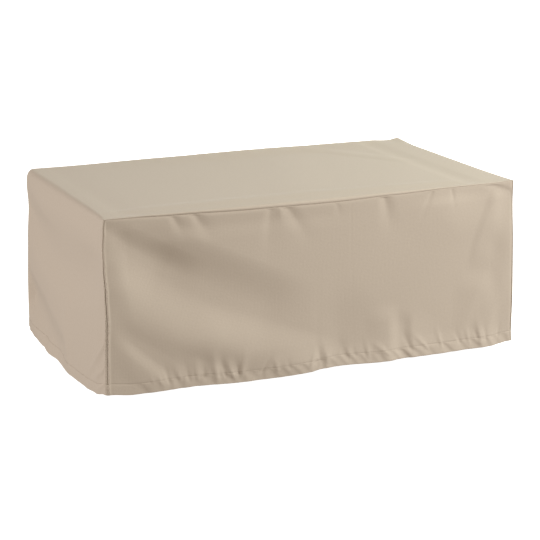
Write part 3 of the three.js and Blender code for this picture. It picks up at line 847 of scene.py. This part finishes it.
def end_surface(end, share, fall, roll_angle, turn_angle, tuck):
    """Outside of one end. share is 0 to 1 from front to back, fall is 0 to 1 from the bend down."""
    across = share * DEPTH
    radius = read(end["bend"], "radius", across)
    hem = read(end["hem"], "down", across)
    down = radius + (hem - radius) * fall
    front_y = -HALF_DEPTH - flare(down) - read(end["front"], "out_side", down)
    back_y = HALF_DEPTH + flare(down) + read(end["back"], "out_side", down)
    roll = np.where(share < 0.5, read(end["front"], "roll", down), read(end["back"], "roll", down))
    turn = np.where(share < 0.5, read(end["front"], "turn", down), read(end["back"], "turn", down))
    y, inset = strip_edge(roll, turn, front_y, back_y, share, roll_angle, turn_angle, tuck)
    lean = read(end["front"], "out_end", down) * corner_weight(across)
    lean = lean + read(end["back"], "out_end", down) * corner_weight(DEPTH - across)
    hang = read(end["hem"], "out", across) * swing(down)
    to_seam = np.minimum(across, DEPTH - across)
    folds = cloth_height(end["folds"], across, down) * ease(to_seam / END_FADE)
    by_seam = ease(to_seam / CREASE_FADE)
    puckers = crease_height(end["puckers"], across, down + HEIGHT - hem) * by_seam
    puckers = puckers + crease_height(end["creases"], across, down) * ease(to_seam / END_CREASE_FADE)
    band = band_creases(end["band"], across, hem - down) * by_seam
    hem_step = HEM_PROUD * ease((down - hem + HEM_DEPTH) / HEM_STEP) + band
    hem_step = hem_step - END_GROOVE * groove(hem - down)
    outward = HALF_LENGTH + flare(down) + lean + hang + folds + puckers + hem_step - inset
    return np.stack([end["out"] * outward, y, OUTER_TOP - down], -1)


def top_height(at, across):
    """Height of the top over the flat: its long edges dip or stand up, and its folds stand up."""
    front_lift = (1 - np.clip(across / EDGE_REACH, 0, 1)) ** 2
    back_lift = (1 - np.clip((DEPTH - across) / EDGE_REACH, 0, 1)) ** 2
    dips = read(FRONT_TOP_SEAM, "dip", at) * front_lift + read(BACK_TOP_SEAM, "dip", at) * back_lift
    to_seam = np.minimum(across, DEPTH - across)
    folds = cloth_height(TOP_FOLDS, at, across) * ease(to_seam / TOP_FADE)
    return folds + cloth_height(TOP_CREASES, at, across) * ease(to_seam / CREASE_FADE) - dips


def top_edges(at):
    """Where the front and back edges of the top lie. Its corners follow the tops of the seams."""
    by_left, by_right = corner_weight(at), corner_weight(LENGTH - at)
    front_y = -HALF_DEPTH - FRONT_LEFT_SEAM["out_side"][0] * by_left
    front_y = front_y - FRONT_RIGHT_SEAM["out_side"][0] * by_right
    back_y = HALF_DEPTH + BACK_LEFT_SEAM["out_side"][0] * by_left
    back_y = back_y + BACK_RIGHT_SEAM["out_side"][0] * by_right
    return front_y, back_y


def top_surface(way, share, bend_turn, roll_angle, turn_angle, tuck):
    """Outside of the top. way is 0 to 1 from the left bend to the right bend. On a bend bend_turn is
    the angle from the end up to the top, and it is a quarter turn on the top itself."""
    across = share * DEPTH
    left_radius = read(LEFT_BEND, "radius", across)
    right_radius = read(RIGHT_BEND, "radius", across)
    by_front, by_back = corner_weight(across), corner_weight(DEPTH - across)
    left = -HALF_LENGTH - FRONT_LEFT_SEAM["out_end"][0] * by_front - BACK_LEFT_SEAM["out_end"][0] * by_back
    right = HALF_LENGTH + FRONT_RIGHT_SEAM["out_end"][0] * by_front
    right = right + BACK_RIGHT_SEAM["out_end"][0] * by_back
    centre = (left + left_radius) * (1 - way) + (right - right_radius) * way
    at = centre + HALF_LENGTH
    radius = np.where(way < 0.5, left_radius, right_radius)
    front_y, back_y = top_edges(at)
    roll = np.where(share < 0.5, read(FRONT_TOP_SEAM, "roll", at), read(BACK_TOP_SEAM, "roll", at))
    turn = np.where(share < 0.5, read(FRONT_TOP_SEAM, "turn", at), read(BACK_TOP_SEAM, "turn", at))
    y, inset = strip_edge(roll, turn, front_y, back_y, share, roll_angle, turn_angle, tuck)
    reach = radius - inset
    x = centre + np.where(way < 0.5, -1, 1) * reach * np.cos(bend_turn)
    lift = top_height(at, across) * np.sin(bend_turn)
    z = OUTER_TOP + lift - radius + reach * np.sin(bend_turn)
    return np.stack([x, y, z], -1)


# Rows round a bend, and rows from one bend to the other.
BEND_ROWS = 8
TOP_ROWS = 160


def lay_strip(name):
    """The strip from the inside of its left hem to the inside of its right hem."""
    lines = (line_roll, line_turn, line_tuck)
    downward = [0, *spaced(0, 40, 5), *spaced(40, 340, 10), *spaced(340, BAND_TOP, 4), *BAND_ROWS]
    falls, depth, drop = add_hem(downward)
    ends = []
    for end in (LEFT_END, RIGHT_END):
        share, fall = np.meshgrid(line_share, np.array(falls))
        wide = [np.broadcast_to(line, share.shape) for line in lines]
        points = end_surface(end, share, fall, *wide)
        points[..., 0] -= end["out"] * np.array(depth)[:, None]
        points[..., 2] -= np.array(drop)[:, None]
        ends.append(points)
    bend_up = np.linspace(0, QUARTER, BEND_ROWS + 1)[1:]
    ways = [0] * BEND_ROWS + spaced(0, 1, 1 / TOP_ROWS)[:-1] + [1] * BEND_ROWS
    turns = np.array([*bend_up, *([QUARTER] * (TOP_ROWS - 1)), *bend_up[::-1]])
    share, way = np.meshgrid(line_share, np.array(ways))
    bend_turn = np.broadcast_to(turns[:, None], share.shape)
    wide = [np.broadcast_to(line, share.shape) for line in lines]
    top = top_surface(way, share, bend_turn, *wide)
    return make_sheet(name, np.concatenate([ends[0][::-1], top, ends[1]]), True)


strip, strip_cut = lay_strip("strip_cloth")
strip.data.materials.append(cloth)
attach(strip, "root")
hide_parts("top_and_ends")


def end_stitches(name, end):
    """The stitching of the hem at one end of the strip."""
    share = np.linspace(0.01, 0.99, 500)
    radius = read(end["bend"], "radius", share * DEPTH)
    hem = read(end["hem"], "down", share * DEPTH)
    fall = (hem - HEM_DEPTH - radius) / (hem - radius)
    none = np.zeros(share.shape)
    return sew_stitches(name, end_surface(end, share, fall, none, none, none), (end["out"], 0, 0))


left_stitches = end_stitches("left_hem_stitches", LEFT_END)
right_stitches = end_stitches("right_hem_stitches", RIGHT_END)
